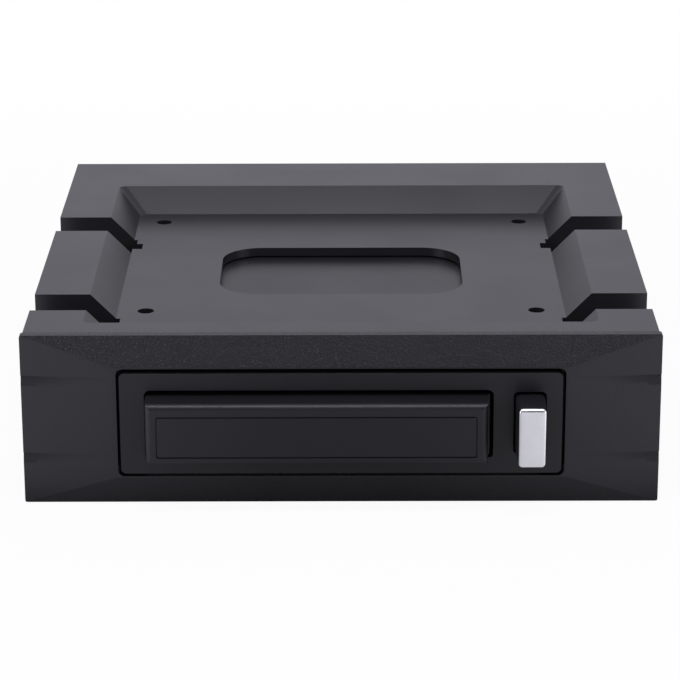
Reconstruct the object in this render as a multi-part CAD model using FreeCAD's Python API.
"""Hard drive enclosure: a 5.25-inch bay adapter with a 3.5-inch-form rack for one 2.5-inch drive.

Millimetres, +Z up, front towards -Y. The pieces are drawn with y measured from the bezel's outer edge
and z from its lower edge, then moved together so that the origin is the bottom centre of the whole.
"""
import FreeCAD
import Part
import math
import os

V = FreeCAD.Vector
ALONG_X = V(1, 0, 0)
ALONG_Y = V(0, 1, 0)
ALONG_Z = V(0, 0, 1)
PAST = 1.0                  # how far a cut runs past the surface that it opens

# Bezel
BEZEL_W = 149.0
BEZEL_H = 41.4
BEZEL_EDGE = 2.2            # straight edge behind the facets
BEZEL_RISE = 2.5            # how far the facets stand forward at the aperture
BEZEL_WALL = 2.0
BEZEL_ROUND = 0.5
APERTURE_W = 104.3
APERTURE_H = 26.5
APERTURE_R = 1.5
COLLAR = 1.6                # wall round the aperture, seen from behind
RIM = 0.3                   # flat lip in front of the collar
GROOVE_TOPS = (31.6, 12.5)  # heights of the grooves' upper edges
GROOVE_H = 2.5
GROOVE_DEEP = 0.6           # at the bezel's side
GROOVE_SHALLOW = 0.1        # at its inner end
GROOVE_END = 53.5           # distance of the inner end from the middle

# Snap hooks between bezel and tray
HOOK_BANDS = ((7.0, 13.0), (28.0, 34.0))
HOOK_LEG = 1.4
HOOK_ROOT = 1.2             # how deep a leg is rooted in the bezel's edge
HOOK_REACH = 12.5
HOOK_BARB_Y = 9.2
HOOK_BARB = 1.1
HOOK_LAND = 0.8             # flat on the barb before it slopes in
HOOK_ROOM = 0.2

# Adapter tray
BODY_W = 147.8
BODY_END = 150.1
WALL = 2.0
DECK_T = 2.2
RECESS_DEPTH = 6.07
RECESS_FRONT = 9.4          # upper edge of the front slope
RECESS_BACK = 127.1         # upper edge of the back slope
RECESS_HALF = 60.5          # upper edge of the side slopes
RECESS_R = 2.0              # rounding where two slopes meet
SIDE_RUN = 6.0
END_RUN = 6.7
WINDOW_HALF = 30.5
WINDOW_Y = (49.7, 89.0)
WINDOW_R = 10.0
DECK_HOLE_R = 2.0
DECK_HOLES_X = 95.25
DECK_HOLES_Y = 76.2
DECK_HOLES_MID = 74.7
NOTCH_DEEP = 9.5
NOTCHES = ((18.8, 31.0), (84.6, 96.9))
NOTCH_WALL = 8.0            # how far the walls beside a notch reach down from the deck
FOOT_SLOTS = ((53.4, 27.5, 30.7), (52.0, 88.3, 92.8), (53.6, 92.0, 96.3))
FOOT_SLOT_DEEP = 5.0
BAY_HOLE_R = 1.35
BAY_HOLE_YS = (49.6, 128.85)
BAY_HOLE_ZS = (10.0, 21.84)
BAY_BOSS_R = 3.2
BAY_BOSS_DEEP = 4.0

# Cradle that holds the rack under the deck
CRADLE_GAP = 0.4
CRADLE_FRONT = 6.0
LEDGE_T = 2.0
LEDGE_REACH = 4.7
ACCESS_R = 4.0

# Rack shells and faceplate
RACK_W = 101.6
RACK_BOTTOM = 8.4
RACK_TOP = 32.7
RACK_END = 130.0
SHELL_T = 1.6
FACE_W = 102.8
FACE_H = 24.7
FACE_MID = 20.7
FACE_FRONT = -3.1
FACE_T = 3.5
FACE_R = 1.2
LIP_T = 1.2
LIP_DEEP = 3.6
LIP_ROOM = 0.2
LIP_CLEAR = 0.5             # between the faceplate's lips and what stands behind them
LID_LIP = 2.0
LID_BOSS_R = 3.2
LID_HOLE_R = 1.25
VENT_COUNT = 9
VENT_PITCH = 7.0
VENT_W = 3.0
VENT_Z = (23.6, 28.2)
VENT_R = 1.2

# Drive bay and caddy
BAY_X = -5.35
OPENING_X = BAY_X + 0.2
OPENING_W = 81.1
OPENING_H = 16.7
OPENING_Z = 12.2
OPENING_R = 1.4             # of the upper corners
OPENING_LOW_R = 0.9
CADDY_W = 75.0
CADDY_IN_W = 70.6
CADDY_BOTTOM = 13.4
CADDY_TOP = 26.6
CADDY_FLOOR_T = 1.6
CADDY_START = 1.6
CADDY_END = 106.2
CADDY_END_R = 3.0
CADDY_WALL = 2.0
CADDY_WINDOW_W = 44.0
CADDY_WINDOW_Y = (28.0, 78.0)
CADDY_WINDOW_R = 6.0
DRIVE_HOLES_X = 61.72
DRIVE_HOLES_YS = (14.8, 91.4)
DRIVE_HOLE_R = 1.6
GUIDE_T = 1.6
RUN_GAP = 0.4
SKID_X = 33.0
SKID_W = 2.0
SKID_GAP = 0.3
SKID_START = 6.0
SKID_TAIL = 2.0             # skids stop this far before the caddy's end
SKID_CLEAR = 12.0           # the right skid stops this far before the rocker
LEAF_L = 26.0
LEAF_W = 5.0
LEAF_T = 0.35
LEAF_Z = 20.0
LEAF_YS = (40.0, 82.0)
LEAF_FOOT = 4.0
LEAF_ROOM = 0.3

# Front of the caddy: a nose that stands on a flange in the faceplate's opening
FLANGE_W = 80.3
FLANGE_FRONT = -2.4
FLANGE_R = 0.5
FRONT_Z = (12.75, 27.6)
NOSE_X = BAY_X - 0.3
NOSE_ROOT_W = 79.6
NOSE_W = 79.2
NOSE_Z = (12.65, 27.3)
FRONT_FACE = -9.0
FRONT_WALL = 2.0
FRONT_EDGE_R = 1.5
FRONT_BOSS_R = 3.0
LABEL_W = 74.3
LABEL_Z = (14.3, 24.5)
LABEL_DEEP = 0.5
LABEL_SUNK = 0.1
LABEL_GAP = 0.3
LABEL_R = 0.6
FRONT_SCREW_X = 28.0
FRONT_SCREW_Z = 20.0
FRONT_SCREW_L = 5.0         # how far its shank reaches into the front

# Button
BUTTON_X = 43.9
BUTTON_Z = 20.55
SLOT_W = 7.6
SLOT_H = 15.3
SLOT_UP = 0.2              # of the slot's middle above the button's
SLOT_R = 1.1
BUTTON_W = 6.8
BUTTON_NOSE_W = 6.3
BUTTON_H = 14.2
BUTTON_R = 1.0
BUTTON_FACE = -12.0
BUTTON_REST = 0.8           # front of the collar that stops behind the faceplate
COLLAR_W = 8.6
COLLAR_H = 16.6
COLLAR_T = 2.0
STEM_W = 6.6
STEM_Z = (11.2, 24.0)
STEM_END = 9.0
CAP_W = 6.2
CAP_T = 1.0
CAP_R = 0.9
CAP_EDGE_R = 0.35

# Rod, spring, rocker and pusher
ROD_W = 5.0
ROD_Z = (12.4, 13.6)
ROD_FRONT = 4.0
ROD_PAD_W = 9.0
ROD_PAD_L = 8.0
ROD_PAD_R = 1.5
ROD_SIDE_ROOM = 0.5
ROD_ROOM = 0.4
ROD_REST_Y = 62.0
ROD_REST_L = 6.0
ROD_REST_WALL = 1.0
ROD_REST_RISE = 1.4
SPRING_R = 2.6
SPRING_WIRE = 0.35
SPRING_TURNS = 7
SPRING_ROOM = 0.05
SPRING_Z = 20.0
STOP_Y = 30.0
STOP_T = 1.6
STOP_HALF = 4.9
STOP_TOP = 25.0
STUB_R = 1.6
STUB_L = 4.0
ROCKER_Y = 97.0
ROCKER_X = 20.0
ROCKER_OUT_X = -6.0
ROCKER_Z = (10.6, 11.8)
ROCKER_HALF = 3.2
ROCKER_WAIST = 4.8
ROCKER_GAP = 0.2
ROCKER_PASS = 8.0           # how far before the pivot the guide opens for the rocker
ROCKER_PIN_R = 1.2
ROD_PIN_TOP = 14.2
PUSHER_PIN_TOP = 13.0
SLOT_ROOM = 0.3
SLOT_ROUND = 1.4
PIVOT_R = 2.0
PIVOT_ROOM = 0.05
PIVOT_HEAD_R = 3.5
PIVOT_HEAD_T = 0.9
PIVOT_HEAD_ROOM = 0.1
PRESS = 7.0
PUSHER_X = (-17.5, -0.5)
PUSHER_Y = (92.5, 108.0)
PUSHER_Z = (12.1, 13.1)
PUSHER_TAB = 1.5
PUSHER_TAB_TOP = 14.9
RUNNER_X = (-16.9, -13.1)
RUNNER_INSET = 0.5
RAIL_T = 1.2
RAIL_PAST = 2.0

# Board and sockets
BOARD_Y = 113.8
BOARD_T = 1.6
BOARD_W = 70.0
BOARD_Z = (10.6, 30.6)
BOARD_GRIP = 1.5
BOARD_ROOM = 0.05
BOARD_FOOT_X = 20.0
BOARD_FOOT_W = 4.0
SOCKET_W = 42.0
SOCKET_Z = (15.9, 21.9)
SOCKET_D = 8.2
SOCKET_X = BAY_X - 4.8
SOCKET_STEP_W = 37.0
SOCKET_STEP_H = 1.6
SOCKET_SLOT_DEEP = 5.0
SOCKET_SLOT_Z = (17.1, 19.3)
DATA_SLOT = (-18.0, -7.6)   # from the socket's middle
POWER_SLOT = (-5.6, 16.0)
PORT_D = 14.2
PORT_H = 6.6
PORT_Z = 18.0
PORT_WALL = 1.3
PORT_BACK = 4.0
PORT_ROOM = 0.4
TONGUE_T = 1.2
TONGUE_SIDE = 3.0
TONGUE_SET = 1.0
DATA_W = 16.6
DATA_X = BAY_X - 24.0
POWER_W = 30.0
POWER_X = BAY_X + 8.0
CAPACITOR_XS = (BAY_X + 27.0, BAY_X - 11.5)
CAPACITOR_Z = 26.5
CAPACITOR_L = 6.0
CAN_R = 3.0
CAN_FOOT_W = 6.2
CAN_FOOT_T = 1.0

# Screws
SCREW_R = 1.45
SCREW_HOLE_R = 1.5
CLEAR_HOLE_R = 1.7
HEAD_R = 2.75
HEAD_T = 1.6
SIDE_SCREW_YS = (25.0, 85.0)
SIDE_SCREW_Z = RACK_BOTTOM + 6.35
SIDE_SCREW_TIP = 1.4        # how far a shank reaches inside the rack's wall
SIDE_BOSS_L = 1.9
SHELL_SCREW_X = 43.0
SHELL_SCREW_Y = 124.0
SHELL_SCREW_L = 10.0

# Worked out from the above
DECK = BEZEL_H
FLOOR = DECK - RECESS_DEPTH
FLOOR_UNDER = FLOOR - DECK_T
BODY_HALF = BODY_W / 2
INNER_HALF = BODY_HALF - WALL
RACK_HALF = RACK_W / 2
CRADLE_IN = RACK_HALF + CRADLE_GAP
CRADLE_OUT = CRADLE_IN + WALL
SHELL_IN = RACK_HALF - SHELL_T
RACK_FLOOR = RACK_BOTTOM + SHELL_T
LID_UNDER = RACK_TOP - SHELL_T
LID_LIP_HALF = SHELL_IN - LIP_ROOM
FACE_BACK = FACE_FRONT + FACE_T
INSIDE_START = FACE_BACK + LIP_DEEP + LIP_CLEAR
GUIDE_IN = CADDY_W / 2 + RUN_GAP
GUIDE_OUT = GUIDE_IN + GUIDE_T
BOARD_BACK = BOARD_Y + BOARD_T
BUTTON_ARM = BUTTON_X - ROCKER_X
OUT_ARM = ROCKER_X - ROCKER_OUT_X
ROCKER_TURN = PRESS / BUTTON_ARM
ARM_SHORTENS = 1 - math.cos(ROCKER_TURN)
PUSH = PRESS * OUT_ARM / BUTTON_ARM
LENGTH_MID = (BUTTON_FACE - CAP_T + BODY_END) / 2
SIDES = (1, -1)             # right and left


def box(x, y, z):
    """Block between pairs of limits, given in either order."""
    lows = [min(pair) for pair in (x, y, z)]
    sizes = [abs(pair[1] - pair[0]) for pair in (x, y, z)]
    return Part.makeBox(*sizes, V(*lows))


def about(middle, width):
    """Pair of limits of a width about a middle."""
    return (middle - width / 2, middle + width / 2)


def mirrored(side, near, far):
    """Pair of limits at two distances from the middle, on one side."""
    return (side * near, side * far)


def edges_along(shape, axis):
    """Straight edges of a shape that run along an axis."""
    straight = [edge for edge in shape.Edges if isinstance(edge.Curve, Part.Line)]
    return [edge for edge in straight if edge.Curve.Direction.cross(axis).Length < 1e-6]


def rounded_box(x, y, z, radius, axis):
    """Block whose edges along one axis are rounded."""
    block = box(x, y, z)
    return block.makeFillet(radius, edges_along(block, axis))


def rounded_outline(x, y, z, radius, axis):
    """Outline of a rounded block's first face along an axis."""
    block = rounded_box(x, y, z, radius, axis)
    first = min(block.Faces, key=lambda face: face.CenterOfMass.dot(axis))
    return first.OuterWire


def cylinder(radius, start, end):
    """Round bar between two points."""
    way = V(*end) - V(*start)
    return Part.makeCylinder(radius, way.Length, V(*start), way)


def rectangle(x, z, y):
    """Upright rectangle across the object at depth y."""
    corners = [V(x[0], y, z[0]), V(x[1], y, z[0]), V(x[1], y, z[1]), V(x[0], y, z[1])]
    return Part.makePolygon(corners + corners[:1])


def loft(*outlines):
    """Solid with straight sides between outlines."""
    return Part.makeLoft(list(outlines), True, True)


def prism(points, way):
    """Straight extrusion of a closed outline."""
    return Part.Face(Part.makePolygon(points + points[:1])).extrude(way)


def joined(first, *others):
    """Union without the seams between coplanar faces."""
    return first.fuse(list(others)).removeSplitter()


def deck_hole_places():
    """The four places of the 3.5-inch device pattern."""
    return [(x, y) for x in about(0, DECK_HOLES_X) for y in about(DECK_HOLES_MID, DECK_HOLES_Y)]


def bezel_groove(side, top):
    """Cut with a level upper edge and a raked floor, deepest at the bezel's side."""
    facet_run = BEZEL_W / 2 - APERTURE_W / 2 - RIM
    ends = []
    for x, deep in ((BEZEL_W / 2 + PAST, GROOVE_DEEP), (GROOVE_END, GROOVE_SHALLOW)):
        facet = -BEZEL_RISE * (BEZEL_W / 2 - x) / facet_run
        corners = [
            V(side * x, facet + deep, top),
            V(side * x, facet - deep, top),
            V(side * x, facet - deep, top - 2 * GROOVE_H),
        ]
        ends.append(Part.makePolygon(corners + corners[:1]))
    return loft(*ends)


def bezel_hook(side, band):
    """Springy leg with a barb that snaps into a window in the tray's side."""
    out = INNER_HALF - HOOK_ROOM
    root = BEZEL_EDGE - HOOK_ROOT
    profile = [
        (out - HOOK_LEG, root),
        (out, root),
        (out, HOOK_BARB_Y),
        (out + HOOK_BARB, HOOK_BARB_Y),
        (out + HOOK_BARB, HOOK_BARB_Y + HOOK_LAND),
        (out - HOOK_LEG / 2, HOOK_REACH),
        (out - HOOK_LEG, HOOK_REACH),
    ]
    points = [V(side * x, y, band[0]) for x, y in profile]
    return prism(points, V(0, 0, band[1] - band[0]))


def front_bezel():
    """Four facets rising to the aperture, hollow behind, with a collar, grooves and snap hooks."""
    middle = BEZEL_H / 2
    whole_x = about(0, BEZEL_W)
    whole_z = (0, BEZEL_H)
    rim_x = about(0, APERTURE_W + 2 * RIM)
    rim_z = about(middle, APERTURE_H + 2 * RIM)
    edge = rounded_box(whole_x, (0, BEZEL_EDGE), whole_z, BEZEL_ROUND, ALONG_Y)
    facets = loft(rectangle(whole_x, whole_z, 0), rectangle(rim_x, rim_z, -BEZEL_RISE))
    corner_trim = rounded_box(whole_x, (-BEZEL_RISE, BEZEL_EDGE), whole_z, BEZEL_ROUND, ALONG_Y)
    hollow = loft(
        rectangle(about(0, BEZEL_W - 2 * BEZEL_WALL), (BEZEL_WALL, BEZEL_H - BEZEL_WALL), BEZEL_EDGE),
        rectangle(rim_x, rim_z, BEZEL_WALL - BEZEL_RISE),
    )
    collar = box(
        about(0, APERTURE_W + 2 * COLLAR),
        (-BEZEL_RISE, BEZEL_EDGE),
        about(middle, APERTURE_H + 2 * COLLAR),
    )
    aperture = rounded_box(
        about(0, APERTURE_W),
        (-BEZEL_RISE - PAST, BEZEL_EDGE + PAST),
        about(middle, APERTURE_H),
        APERTURE_R,
        ALONG_Y,
    )
    shell = edge.fuse(facets.common(corner_trim)).cut(hollow.cut(collar)).cut(aperture)
    grooves = [bezel_groove(side, top) for side in SIDES for top in GROOVE_TOPS]
    hooks = [bezel_hook(side, band) for side in SIDES for band in HOOK_BANDS]
    return joined(shell.cut(grooves), *hooks)


def deck_recess(drop):
    """Sunk part of the deck, whose slopes meet in rounded corners, or the same a wall's thickness lower."""
    side_out = drop * math.tan(math.atan2(RECESS_DEPTH, SIDE_RUN) / 2)
    end_out = drop * math.tan(math.atan2(RECESS_DEPTH, END_RUN) / 2)
    low = FLOOR - drop
    high = DECK + PAST
    side_run = (high - low) * SIDE_RUN / RECESS_DEPTH
    end_run = (high - low) * END_RUN / RECESS_DEPTH
    half = RECESS_HALF - SIDE_RUN + side_out
    start = RECESS_FRONT + END_RUN - end_out
    end = RECESS_BACK - END_RUN + end_out
    floor = rounded_outline((-half, half), (start, end), (low, high), RECESS_R, ALONG_Z)
    mouth = rounded_outline(
        (-half - side_run, half + side_run),
        (start - end_run, end + end_run),
        (high, high + PAST),
        RECESS_R,
        ALONG_Z,
    )
    return loft(floor, mouth)


def cradle_rib(side):
    """Upright wall beside the rack, with a ledge under it."""
    low = RACK_BOTTOM - LEDGE_T
    upright = box(
        mirrored(side, CRADLE_IN, CRADLE_OUT), (CRADLE_FRONT, BODY_END - WALL), (low, DECK)
    )
    ledge = box(
        mirrored(side, CRADLE_IN - LEDGE_REACH, CRADLE_OUT), (CRADLE_FRONT, RACK_END), (low, RACK_BOTTOM)
    )
    return upright.fuse(ledge)


def bay_hole_bars(side, radius, inner, outer):
    """Four bars of one radius along the bay screws' axes, between two distances from the middle."""
    places = [(y, z) for y in BAY_HOLE_YS for z in BAY_HOLE_ZS]
    return [cylinder(radius, (side * inner, y, z), (side * outer, y, z)) for y, z in places]


def tray_side_cuts(side):
    """Everything that opens one side of the tray: screw holes, hook windows, notches and foot slots."""
    boss_end = INNER_HALF - BAY_BOSS_DEEP
    outside = BODY_HALF + PAST
    wall_x = mirrored(side, INNER_HALF - PAST, outside)
    foot_x = RECESS_HALF - SIDE_RUN
    cuts = bay_hole_bars(side, BAY_HOLE_R, boss_end - PAST, outside)
    for y in SIDE_SCREW_YS:
        inner, outer = [(side * x, y, SIDE_SCREW_Z) for x in (CRADLE_IN - PAST, CRADLE_OUT + PAST)]
        cuts.append(cylinder(CLEAR_HOLE_R, inner, outer))
        cuts.append(cylinder(ACCESS_R, (wall_x[0], y, SIDE_SCREW_Z), (wall_x[1], y, SIDE_SCREW_Z)))
    for low, high in HOOK_BANDS:
        window_y = (HOOK_BARB_Y - HOOK_ROOM, HOOK_REACH + HOOK_ROOM)
        cuts.append(box(wall_x, window_y, (low - HOOK_ROOM, high + HOOK_ROOM)))
    for notch in NOTCHES:
        cuts.append(box(mirrored(side, foot_x, outside), notch, (DECK - NOTCH_DEEP, DECK + PAST)))
    for inner, start, end in FOOT_SLOTS:
        cuts.append(box(mirrored(side, inner, foot_x), (start, end), (FLOOR - FOOT_SLOT_DEEP, DECK)))
    return cuts


def notch_walls(side):
    """Walls that close the hollow under the deck in front of each notch and behind it."""
    x = mirrored(side, CRADLE_OUT - WALL / 2, INNER_HALF + WALL / 2)
    z = (DECK - NOTCH_WALL, DECK - DECK_T / 2)
    return [box(x, y, z) for start, end in NOTCHES for y in ((start - WALL, start), (end, end + WALL))]


def adapter_tray():
    """Hollow body with a sunk deck, open below and behind, and a cradle for the rack."""
    outside = box(about(0, BODY_W), (BEZEL_EDGE, BODY_END), (0, DECK))
    inside = box((-INNER_HALF, INNER_HALF), (0, BODY_END - WALL), (-PAST, DECK - DECK_T))
    rear_gap = box(
        (-CRADLE_IN, CRADLE_IN), (BODY_END - WALL - PAST, BODY_END + PAST), (-PAST, FLOOR_UNDER)
    )
    ribs = [cradle_rib(side) for side in SIDES]
    body = outside.cut([inside, rear_gap]).fuse(deck_recess(DECK_T).fuse(ribs).common(outside))
    through = (FLOOR_UNDER - PAST, FLOOR + PAST)
    window = rounded_box((-WINDOW_HALF, WINDOW_HALF), WINDOW_Y, through, WINDOW_R, ALONG_Z)
    cuts = [deck_recess(0), window]
    cuts += [cylinder(DECK_HOLE_R, (x, y, through[0]), (x, y, through[1])) for x, y in deck_hole_places()]
    for side in SIDES:
        bosses = bay_hole_bars(side, BAY_BOSS_R, INNER_HALF - BAY_BOSS_DEEP, INNER_HALF + WALL / 2)
        body = body.fuse(bosses + notch_walls(side))
        cuts += tray_side_cuts(side)
    return body.cut(cuts).removeSplitter()


def rack_faceplate():
    """Plate in the bezel's aperture, with the caddy's opening, the button's slot and two lips behind."""
    plate = rounded_box(
        about(0, FACE_W), (FACE_FRONT, FACE_BACK), about(FACE_MID, FACE_H), FACE_R, ALONG_Y
    )
    lip_x = (-LID_LIP_HALF, BUTTON_X - COLLAR_W / 2 - LIP_T)
    lip_y = (FACE_BACK, FACE_BACK + LIP_DEEP)
    low = RACK_FLOOR + LIP_ROOM
    high = LID_UNDER - LIP_ROOM
    lips = [box(lip_x, lip_y, (low, low + LIP_T)), box(lip_x, lip_y, (high - LIP_T, high))]
    through = (FACE_FRONT - PAST, FACE_BACK + PAST)
    opening_z = (OPENING_Z, OPENING_Z + OPENING_H)
    opening = box(about(OPENING_X, OPENING_W), through, opening_z)
    for radius, height in zip((OPENING_LOW_R, OPENING_R), opening_z):
        corners = [edge for edge in edges_along(opening, ALONG_Y) if abs(edge.CenterOfMass.z - height) < 0.01]
        opening = opening.makeFillet(radius, corners)
    slot_z = about(BUTTON_Z + SLOT_UP, SLOT_H)
    slot = rounded_box(about(BUTTON_X, SLOT_W), through, slot_z, SLOT_R, ALONG_Y)
    return joined(plate.cut([opening, slot]), *lips)


def bay_guide(side):
    """Wall beside the caddy, which ends in a groove that holds the board's edge."""
    z = (RACK_FLOOR, CADDY_TOP)
    guide_x = (BAY_X + side * GUIDE_IN, BAY_X + side * GUIDE_OUT)
    grip_x = (BAY_X + side * (BOARD_W / 2 - BOARD_GRIP), BAY_X + side * GUIDE_OUT)
    edge_x = (BAY_X + side * (BOARD_W / 2 + BOARD_ROOM), BAY_X + side * GUIDE_OUT)
    return [
        box(guide_x, (INSIDE_START, BOARD_BACK + SHELL_T), z),
        box(grip_x, (BOARD_Y - SHELL_T, BOARD_Y), z),
        box(grip_x, (BOARD_BACK, BOARD_BACK + SHELL_T), z),
        box(edge_x, (BOARD_Y, BOARD_BACK), z),
    ]


def rod_supports():
    """Stop with a stub for the spring, which the rod passes through, and an open rest further back."""
    passage = about(BUTTON_X, ROD_W + 2 * ROD_SIDE_ROOM)
    stop = box((BUTTON_X - STOP_HALF, SHELL_IN), (STOP_Y, STOP_Y + STOP_T), (RACK_FLOOR, STOP_TOP))
    rod_window = box(
        passage, (STOP_Y - PAST, STOP_Y + STOP_T + PAST), (ROD_Z[0] - ROD_ROOM, ROD_Z[1] + ROD_ROOM)
    )
    stub = cylinder(STUB_R, (BUTTON_X, STOP_Y - STUB_L, SPRING_Z), (BUTTON_X, STOP_Y, SPRING_Z))
    rest_top = ROD_Z[1] + ROD_REST_RISE
    rest = box(
        about(BUTTON_X, ROD_W + 2 * (ROD_SIDE_ROOM + ROD_REST_WALL)),
        about(ROD_REST_Y, ROD_REST_L),
        (RACK_FLOOR, rest_top),
    )
    trough = box(
        passage, about(ROD_REST_Y, ROD_REST_L + 2 * PAST), (ROD_Z[0] - SLOT_ROOM, rest_top + PAST)
    )
    return [stop.cut(rod_window), stub, rest.cut(trough)]


def pusher_rails():
    """Two low rails that the pusher's runner slides between."""
    rail_y = (PUSHER_Y[0] - PUSH - RAIL_PAST, PUSHER_Y[1] + RAIL_PAST)
    rail_z = (RACK_FLOOR, PUSHER_Z[0] - SLOT_ROOM)
    left = RUNNER_X[0] - SLOT_ROOM
    right = RUNNER_X[1] + SLOT_ROOM
    return [box((left - RAIL_T, left), rail_y, rail_z), box((right, right + RAIL_T), rail_y, rail_z)]


def rear_wall_openings():
    """Windows for the two headers and a row of vents above them."""
    through = (RACK_END - SHELL_T - PAST, RACK_END + PAST)
    found = []
    for x, width in ((DATA_X, DATA_W), (POWER_X, POWER_W)):
        found.append(box(about(x, width + 2 * PORT_ROOM), through, about(PORT_Z, PORT_H + 2 * PORT_ROOM)))
    for number in range(VENT_COUNT):
        x = BAY_X + (number - (VENT_COUNT - 1) / 2) * VENT_PITCH
        found.append(rounded_box(about(x, VENT_W), through, VENT_Z, VENT_R, ALONG_Y))
    return found


def rack_lower_shell():
    """Floor, sides and rear wall of the rack, with guides, skids, board feet and the ejector's supports."""
    shell = box(about(0, RACK_W), (FACE_BACK, RACK_END), (RACK_BOTTOM, LID_UNDER))
    hollow = box(
        about(0, 2 * SHELL_IN), (FACE_BACK - PAST, RACK_END - SHELL_T), (RACK_FLOOR, LID_UNDER + PAST)
    )
    skid_z = (RACK_FLOOR, CADDY_BOTTOM - SKID_GAP)
    rocker_boss = cylinder(
        PIVOT_HEAD_R, (ROCKER_X, ROCKER_Y, RACK_FLOOR), (ROCKER_X, ROCKER_Y, ROCKER_Z[0] - ROCKER_GAP)
    )
    forms = rod_supports() + pusher_rails() + [
        rocker_boss,
        box(about(BAY_X - SKID_X, SKID_W), (SKID_START, CADDY_END - SKID_TAIL), skid_z),
        box(about(BAY_X + SKID_X, SKID_W), (SKID_START, ROCKER_Y - SKID_CLEAR), skid_z),
    ]
    rocker_pass = box(
        (BAY_X + GUIDE_IN - PAST, BAY_X + GUIDE_OUT + PAST),
        (ROCKER_Y - ROCKER_PASS, BOARD_Y - SHELL_T),
        (RACK_FLOOR, CADDY_BOTTOM),
    )
    pivot_hole = cylinder(
        PIVOT_R, (ROCKER_X, ROCKER_Y, RACK_BOTTOM - PAST), (ROCKER_X, ROCKER_Y, ROCKER_Z[0])
    )
    cuts = rear_wall_openings() + [rocker_pass, pivot_hole]
    for side in SIDES:
        foot_x = about(BAY_X + side * BOARD_FOOT_X, BOARD_FOOT_W)
        forms += bay_guide(side)
        forms.append(box(foot_x, (BOARD_Y, BOARD_BACK), (RACK_FLOOR, BOARD_Z[0])))
        for y in SIDE_SCREW_YS:
            boss_x = mirrored(side, SHELL_IN - SIDE_BOSS_L, SHELL_IN + SHELL_T / 2)
            hole_x = mirrored(side, SHELL_IN - SIDE_BOSS_L - PAST, RACK_HALF + PAST)
            forms.append(cylinder(HEAD_R, *[(x, y, SIDE_SCREW_Z) for x in boss_x]))
            cuts.append(cylinder(SCREW_HOLE_R, *[(x, y, SIDE_SCREW_Z) for x in hole_x]))
        foot = (side * SHELL_SCREW_X, SHELL_SCREW_Y, RACK_BOTTOM - PAST)
        cuts.append(cylinder(CLEAR_HOLE_R, foot, (side * SHELL_SCREW_X, SHELL_SCREW_Y, RACK_FLOOR + PAST)))
    leaf_x = about(BAY_X - (GUIDE_IN + GUIDE_OUT) / 2, GUIDE_T + PAST)
    for y in LEAF_YS:
        leaf_y = about(y, LEAF_L - 2 * (LEAF_FOOT - PAST))
        cuts.append(box(leaf_x, leaf_y, about(LEAF_Z, LEAF_W + PAST)))
    return shell.cut(hollow).fuse(forms).cut(cuts).removeSplitter()


def rack_upper_shell():
    """Lid with a locating lip, two hold-down ribs over the caddy and two screw bosses."""
    lid = box(about(0, RACK_W), (FACE_BACK, RACK_END), (LID_UNDER, RACK_TOP))
    lip_y = (INSIDE_START, RACK_END - SHELL_T - LIP_ROOM)
    lip_low = LID_UNDER - LID_LIP
    ring = box((-LID_LIP_HALF, LID_LIP_HALF), lip_y, (lip_low, LID_UNDER))
    middle = box(
        (LIP_T - LID_LIP_HALF, LID_LIP_HALF - LIP_T),
        (lip_y[0] - PAST, lip_y[1] - LIP_T),
        (lip_low - PAST, LID_UNDER),
    )
    forms = [ring.cut(middle)]
    cuts = [
        cylinder(LID_HOLE_R, (x, y, lip_low - PAST), (x, y, RACK_TOP + PAST)) for x, y in deck_hole_places()
    ]
    for side in SIDES:
        rib_x = about(BAY_X + side * SKID_X, SKID_W)
        forms.append(box(rib_x, (lip_y[0], CADDY_END - SKID_TAIL), (CADDY_TOP + SKID_GAP, LID_UNDER)))
        foot = (side * SHELL_SCREW_X, SHELL_SCREW_Y, RACK_FLOOR)
        forms.append(cylinder(LID_BOSS_R, foot, (side * SHELL_SCREW_X, SHELL_SCREW_Y, LID_UNDER)))
        hole_end = RACK_FLOOR + SHELL_SCREW_L + PAST
        cuts.append(cylinder(SCREW_HOLE_R, foot, (side * SHELL_SCREW_X, SHELL_SCREW_Y, hole_end)))
    return lid.fuse(forms).cut(cuts).removeSplitter()


def caddy_tray():
    """Carrier for the drive: floor with a window and four screw holes, two sides and a front wall."""
    block = box(about(BAY_X, CADDY_W), (CADDY_START, CADDY_END), (CADDY_BOTTOM, CADDY_TOP))
    floor_top = CADDY_BOTTOM + CADDY_FLOOR_T
    through = (CADDY_BOTTOM - PAST, floor_top + PAST)
    front_inside = CADDY_START + CADDY_WALL
    bay = box(about(BAY_X, CADDY_IN_W), (front_inside, CADDY_END + PAST), (floor_top, CADDY_TOP + PAST))
    window = rounded_box(
        about(BAY_X, CADDY_WINDOW_W), CADDY_WINDOW_Y, through, CADDY_WINDOW_R, ALONG_Z
    )
    cuts = [bay, window]
    for x in about(BAY_X, DRIVE_HOLES_X):
        for y in DRIVE_HOLES_YS:
            cuts.append(cylinder(DRIVE_HOLE_R, (x, y, through[0]), (x, y, through[1])))
    for x in about(BAY_X, 2 * FRONT_SCREW_X):
        start = (x, CADDY_START - PAST, FRONT_SCREW_Z)
        cuts.append(cylinder(CLEAR_HOLE_R, start, (x, front_inside + PAST, FRONT_SCREW_Z)))
    tray = block.cut(cuts)
    upper_rear = [
        edge for edge in edges_along(tray, ALONG_X)
        if edge.BoundBox.YMin > CADDY_END - 0.1 and edge.BoundBox.ZMin > CADDY_TOP - 0.1
    ]
    return tray.makeFillet(CADDY_END_R, upper_rear)


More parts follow.
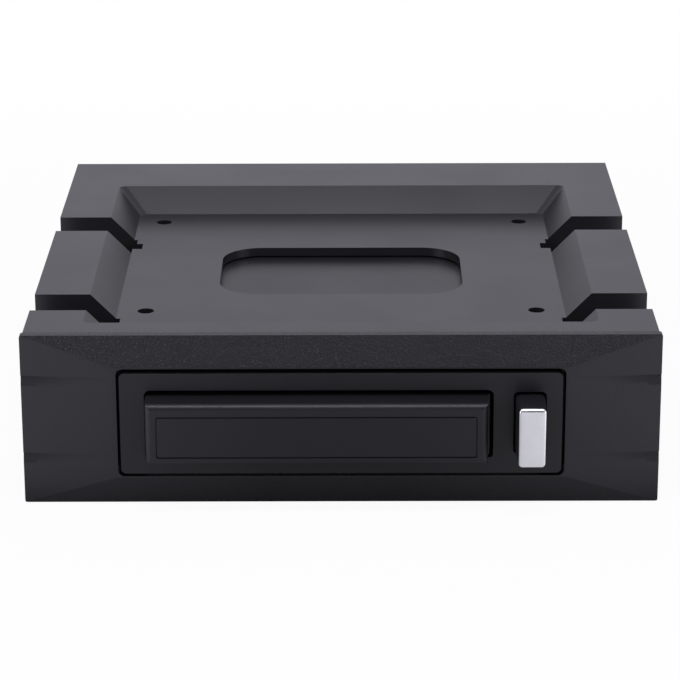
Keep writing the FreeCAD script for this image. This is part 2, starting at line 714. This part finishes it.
def caddy_front():
    """Flange and hollow nose with rounded front edges, an inset for the label and two bosses."""
    flange = box(about(BAY_X, FLANGE_W), (FLANGE_FRONT, CADDY_START), FRONT_Z)
    flange_edges = [
        edge for edge in edges_along(flange, ALONG_Z) if edge.BoundBox.YMax < FLANGE_FRONT + 0.01
    ]
    nose = loft(
        rectangle(about(NOSE_X, NOSE_ROOT_W), FRONT_Z, FLANGE_FRONT + FLANGE_R),
        rectangle(about(NOSE_X, NOSE_W), NOSE_Z, FRONT_FACE),
    )
    block = joined(flange.makeFillet(FLANGE_R, flange_edges), nose)
    nose_edges = [edge for edge in block.Edges if edge.BoundBox.YMax < FRONT_FACE + 0.01]
    block = block.makeFillet(FRONT_EDGE_R, nose_edges)
    inset_end = FRONT_FACE + LABEL_DEEP
    inset = rounded_box(
        about(NOSE_X, LABEL_W), (FRONT_FACE - PAST, inset_end), LABEL_Z, LABEL_R, ALONG_Y
    )
    hollow = box(
        about(NOSE_X, NOSE_W - 2 * FRONT_WALL),
        (inset_end + FRONT_WALL, CADDY_START + PAST),
        (FRONT_Z[0] + FRONT_WALL, FRONT_Z[1] - FRONT_WALL),
    )
    block = block.cut([inset, hollow])
    for x in about(BAY_X, 2 * FRONT_SCREW_X):
        root, tip, end, past = [
            (x, y, FRONT_SCREW_Z)
            for y in (inset_end + FRONT_WALL / 2, inset_end + FRONT_WALL, CADDY_START, CADDY_START + PAST)
        ]
        block = block.fuse(cylinder(FRONT_BOSS_R, root, end)).cut(cylinder(SCREW_HOLE_R, tip, past))
    return block.removeSplitter()


def caddy_label():
    """Blank plate that lies in the caddy front's inset."""
    return rounded_box(
        about(NOSE_X, LABEL_W - 2 * LABEL_GAP),
        (FRONT_FACE + LABEL_SUNK, FRONT_FACE + LABEL_DEEP),
        (LABEL_Z[0] + LABEL_GAP, LABEL_Z[1] - LABEL_GAP),
        LABEL_R - LABEL_GAP,
        ALONG_Y,
    )


def eject_button():
    """Tapered push button with a collar that stops behind the faceplate and a stem for the rod."""
    tall = about(BUTTON_Z, BUTTON_H)
    wide = about(BUTTON_X, BUTTON_W)
    collar_y = (BUTTON_REST, BUTTON_REST + COLLAR_T)
    nose = loft(
        rounded_outline(about(BUTTON_X, BUTTON_NOSE_W), (BUTTON_FACE, FACE_FRONT), tall, BUTTON_R, ALONG_Y),
        rounded_outline(wide, (FACE_FRONT, collar_y[1]), tall, BUTTON_R, ALONG_Y),
    )
    neck = rounded_box(wide, (FACE_FRONT, collar_y[1]), tall, BUTTON_R, ALONG_Y)
    collar = box(about(BUTTON_X, COLLAR_W), collar_y, about(BUTTON_Z, COLLAR_H))
    stem = box(about(BUTTON_X, STEM_W), (collar_y[1], STEM_END), STEM_Z)
    stub = cylinder(STUB_R, (BUTTON_X, STEM_END, SPRING_Z), (BUTTON_X, STEM_END + STUB_L, SPRING_Z))
    socket = box(about(BUTTON_X, ROD_W), (ROD_FRONT, STEM_END + PAST), ROD_Z)
    return joined(nose, neck, collar, stem, stub).cut(socket)


def button_cap():
    """Bright plate with rounded corners and a rounded rim on the button's front."""
    front = BUTTON_FACE - CAP_T
    plate = rounded_box(
        about(BUTTON_X, CAP_W), (front, BUTTON_FACE), about(BUTTON_Z, BUTTON_H), CAP_R, ALONG_Y
    )
    rim = [edge for edge in plate.Edges if edge.BoundBox.YMax < front + 0.01]
    return plate.makeFillet(CAP_EDGE_R, rim)


def pin_slot(x, z):
    """Cross slot that a rocker's pin slides in, as the pin's arm shortens."""
    reach = ROCKER_PIN_R + SLOT_ROOM
    return rounded_box(
        (min(x) - reach, max(x) + reach),
        about(ROCKER_Y, 2 * reach),
        (z[0] - PAST, z[1] + PAST),
        SLOT_ROUND,
        ALONG_Z,
    )


def push_rod():
    """Flat strip from the button to the rocker, with a cross slot for the rocker's pin."""
    strip = box(about(BUTTON_X, ROD_W), (ROD_FRONT, ROCKER_Y), ROD_Z)
    pad = rounded_box(about(BUTTON_X, ROD_PAD_W), about(ROCKER_Y, ROD_PAD_L), ROD_Z, ROD_PAD_R, ALONG_Z)
    return joined(strip, pad).cut(pin_slot((BUTTON_X - BUTTON_ARM * ARM_SHORTENS, BUTTON_X), ROD_Z))


def eject_rocker():
    """Two-armed plate on a pivot, with a pin up into the rod and another into the pusher."""
    def upright(x, radius, top):
        return cylinder(radius, (x, ROCKER_Y, ROCKER_Z[0]), (x, ROCKER_Y, top))

    profile = [
        (BUTTON_X, -ROCKER_HALF),
        (BUTTON_X, ROCKER_HALF),
        (ROCKER_X, ROCKER_WAIST),
        (ROCKER_OUT_X, ROCKER_HALF),
        (ROCKER_OUT_X, -ROCKER_HALF),
        (ROCKER_X, -ROCKER_WAIST),
    ]
    outline = [V(x, ROCKER_Y + y, ROCKER_Z[0]) for x, y in profile]
    plate = prism(outline, V(0, 0, ROCKER_Z[1] - ROCKER_Z[0]))
    ends = [upright(x, ROCKER_HALF, ROCKER_Z[1]) for x in (BUTTON_X, ROCKER_OUT_X)]
    pins = [
        upright(BUTTON_X, ROCKER_PIN_R, ROD_PIN_TOP),
        upright(ROCKER_OUT_X, ROCKER_PIN_R, PUSHER_PIN_TOP),
    ]
    bore = cylinder(PIVOT_R + PIVOT_ROOM, (ROCKER_X, ROCKER_Y, 0), (ROCKER_X, ROCKER_Y, BEZEL_H))
    return joined(plate, *ends, *pins).cut(bore)


def rocker_pivot_pin():
    """Headed pin pressed into the rack's floor."""
    low, under_head, top = [
        (ROCKER_X, ROCKER_Y, z)
        for z in (RACK_BOTTOM, ROCKER_Z[1] + PIVOT_HEAD_ROOM, ROCKER_Z[1] + PIVOT_HEAD_ROOM + PIVOT_HEAD_T)
    ]
    return joined(cylinder(PIVOT_R, low, under_head), cylinder(PIVOT_HEAD_R, under_head, top))


def eject_pusher():
    """Slider with a runner between the rails, a slot for the rocker's pin and a tab behind the caddy."""
    plate = box(PUSHER_X, PUSHER_Y, PUSHER_Z)
    tab = box(PUSHER_X, (PUSHER_Y[1] - PUSHER_TAB, PUSHER_Y[1]), (PUSHER_Z[0], PUSHER_TAB_TOP))
    runner = box(
        RUNNER_X,
        (PUSHER_Y[0] + RUNNER_INSET, PUSHER_Y[1] - RUNNER_INSET),
        (RACK_FLOOR + SLOT_ROOM, PUSHER_Z[0]),
    )
    slot = pin_slot((ROCKER_OUT_X, ROCKER_OUT_X + OUT_ARM * ARM_SHORTENS), PUSHER_Z)
    return joined(plate, tab, runner).cut(slot)


def return_spring():
    """Coil spring between the button's stem and the stop in the rack's floor."""
    length = STOP_Y - STEM_END - 2 * SPRING_WIRE - 2 * SPRING_ROOM
    path = Part.makeHelix(length / SPRING_TURNS, length, SPRING_R)
    section = Part.Wire(Part.makeCircle(SPRING_WIRE, V(SPRING_R, 0, 0), ALONG_Y))
    coil = Part.Wire(path).makePipeShell([section], True, True)
    coil.rotate(V(0, 0, 0), ALONG_X, -90)
    coil.translate(V(BUTTON_X, STEM_END + SPRING_WIRE + SPRING_ROOM, SPRING_Z))
    return coil


def backplane_board():
    """Board that stands across the rear of the drive bay."""
    return box(about(BAY_X, BOARD_W), (BOARD_Y, BOARD_BACK), BOARD_Z)


def drive_socket():
    """Combined socket with a short data slot and a long power slot."""
    front = BOARD_Y - SOCKET_D
    open_y = (front - PAST, front + SOCKET_SLOT_DEEP)
    block = box(about(SOCKET_X, SOCKET_W), (front, BOARD_Y), SOCKET_Z)
    step = box(
        about(SOCKET_X, SOCKET_STEP_W), open_y, (SOCKET_Z[1] - SOCKET_STEP_H, SOCKET_Z[1] + PAST)
    )
    slots = [
        box((SOCKET_X + start, SOCKET_X + end), open_y, SOCKET_SLOT_Z)
        for start, end in (DATA_SLOT, POWER_SLOT)
    ]
    return block.cut([step] + slots)


def header(x, width):
    """Shrouded rear header with a flat tongue that has one turned-up end."""
    end = BOARD_BACK + PORT_D
    floor = BOARD_BACK + PORT_BACK
    block = box(about(x, width), (BOARD_BACK, end), about(PORT_Z, PORT_H))
    mouth = box(
        about(x, width - 2 * PORT_WALL), (floor, end + PAST), about(PORT_Z, PORT_H - 2 * PORT_WALL)
    )
    tongue_y = (floor - PAST, end - TONGUE_SET)
    tongue_x = about(x, width - 2 * TONGUE_SIDE)
    tongue = box(tongue_x, tongue_y, (PORT_Z - TONGUE_T, PORT_Z))
    turned_end = box((tongue_x[0], tongue_x[0] + TONGUE_T), tongue_y, about(PORT_Z, 2 * TONGUE_T))
    return joined(block.cut(mouth), tongue, turned_end)


def data_port():
    """Rear data header."""
    return header(DATA_X, DATA_W)


def power_port():
    """Rear power header."""
    return header(POWER_X, POWER_W)


def board_capacitors():
    """Two round capacitors on square feet on the board's rear face."""
    parts = []
    for x in CAPACITOR_XS:
        foot_y = (BOARD_BACK, BOARD_BACK + CAN_FOOT_T)
        foot = box(about(x, CAN_FOOT_W), foot_y, about(CAPACITOR_Z, CAN_FOOT_W))
        can = cylinder(CAN_R, (x, foot_y[1], CAPACITOR_Z), (x, BOARD_BACK + CAPACITOR_L, CAPACITOR_Z))
        parts.append(joined(foot, can))
    return Part.makeCompound(parts)


def leaf_spring(y):
    """Bowed strip outside the left guide, whose crown reaches through it towards the caddy."""
    foot_x = BAY_X - GUIDE_OUT
    crown_x = BAY_X - CADDY_W / 2 - LEAF_ROOM
    low = LEAF_Z - LEAF_W / 2
    half = LEAF_L / 2
    bow = half - LEAF_FOOT
    start, bow_start, bow_end, end = [V(foot_x, y + along, low) for along in (-half, -bow, bow, half)]
    crown = V(crown_x, y, low)
    back = V(-LEAF_T, 0, 0)
    outline = Part.Wire([
        Part.makeLine(start, bow_start),
        Part.Arc(bow_start, crown, bow_end).toShape(),
        Part.makeLine(bow_end, end),
        Part.makeLine(end, end + back),
        Part.makeLine(end + back, bow_end + back),
        Part.Arc(bow_end + back, crown + back, bow_start + back).toShape(),
        Part.makeLine(bow_start + back, start + back),
        Part.makeLine(start + back, start),
    ])
    return Part.Face(outline).extrude(V(0, 0, LEAF_W))


def caddy_leaf_springs():
    """Two leaf springs that steady the caddy."""
    return Part.makeCompound([leaf_spring(y) for y in LEAF_YS])


def screw(head, shank_end):
    """Screw whose head sits at one point and whose shank runs to another."""
    start = V(*head)
    way = (V(*shank_end) - start).normalize()
    shank = cylinder(SCREW_R, start, shank_end)
    cap = Part.makeCylinder(HEAD_R, HEAD_T, start, way * -1)
    return joined(shank, cap)


def rack_side_screws():
    """Four screws through the cradle into the rack's sides."""
    tip = SHELL_IN - SIDE_SCREW_TIP
    places = [(side, y) for side in SIDES for y in SIDE_SCREW_YS]
    return Part.makeCompound([
        screw((side * CRADLE_OUT, y, SIDE_SCREW_Z), (side * tip, y, SIDE_SCREW_Z)) for side, y in places
    ])


def shell_screws():
    """Two screws from below through the rack's floor into the lid's bosses."""
    tip = RACK_FLOOR + SHELL_SCREW_L
    return Part.makeCompound([
        screw((x, SHELL_SCREW_Y, RACK_BOTTOM), (x, SHELL_SCREW_Y, tip)) for x in about(0, 2 * SHELL_SCREW_X)
    ])


def caddy_front_screws():
    """Two screws from inside the caddy into its front."""
    head_y = CADDY_START + CADDY_WALL
    tip_y = CADDY_START - FRONT_SCREW_L
    return Part.makeCompound([
        screw((x, head_y, FRONT_SCREW_Z), (x, tip_y, FRONT_SCREW_Z)) for x in about(BAY_X, 2 * FRONT_SCREW_X)
    ])


PIECES = [
    front_bezel,
    adapter_tray,
    rack_side_screws,
    rack_faceplate,
    rack_lower_shell,
    rack_upper_shell,
    shell_screws,
    backplane_board,
    drive_socket,
    data_port,
    power_port,
    board_capacitors,
    caddy_tray,
    caddy_front,
    caddy_label,
    caddy_front_screws,
    caddy_leaf_springs,
    eject_button,
    button_cap,
    push_rod,
    eject_rocker,
    rocker_pivot_pin,
    eject_pusher,
    return_spring,
]

os.makedirs("parts", exist_ok=True)
for piece in PIECES:
    shape = piece()
    shape.translate(V(0, -LENGTH_MID, 0))
    shape.exportStep("parts/" + piece.__name__ + ".step")
    print(piece.__name__, len(shape.Solids), "solids, valid", shape.isValid(), round(shape.Volume, 1), "mm3")
print("rocker turns", round(math.degrees(ROCKER_TURN), 2), "degrees, pusher travels", round(PUSH, 3), "mm")
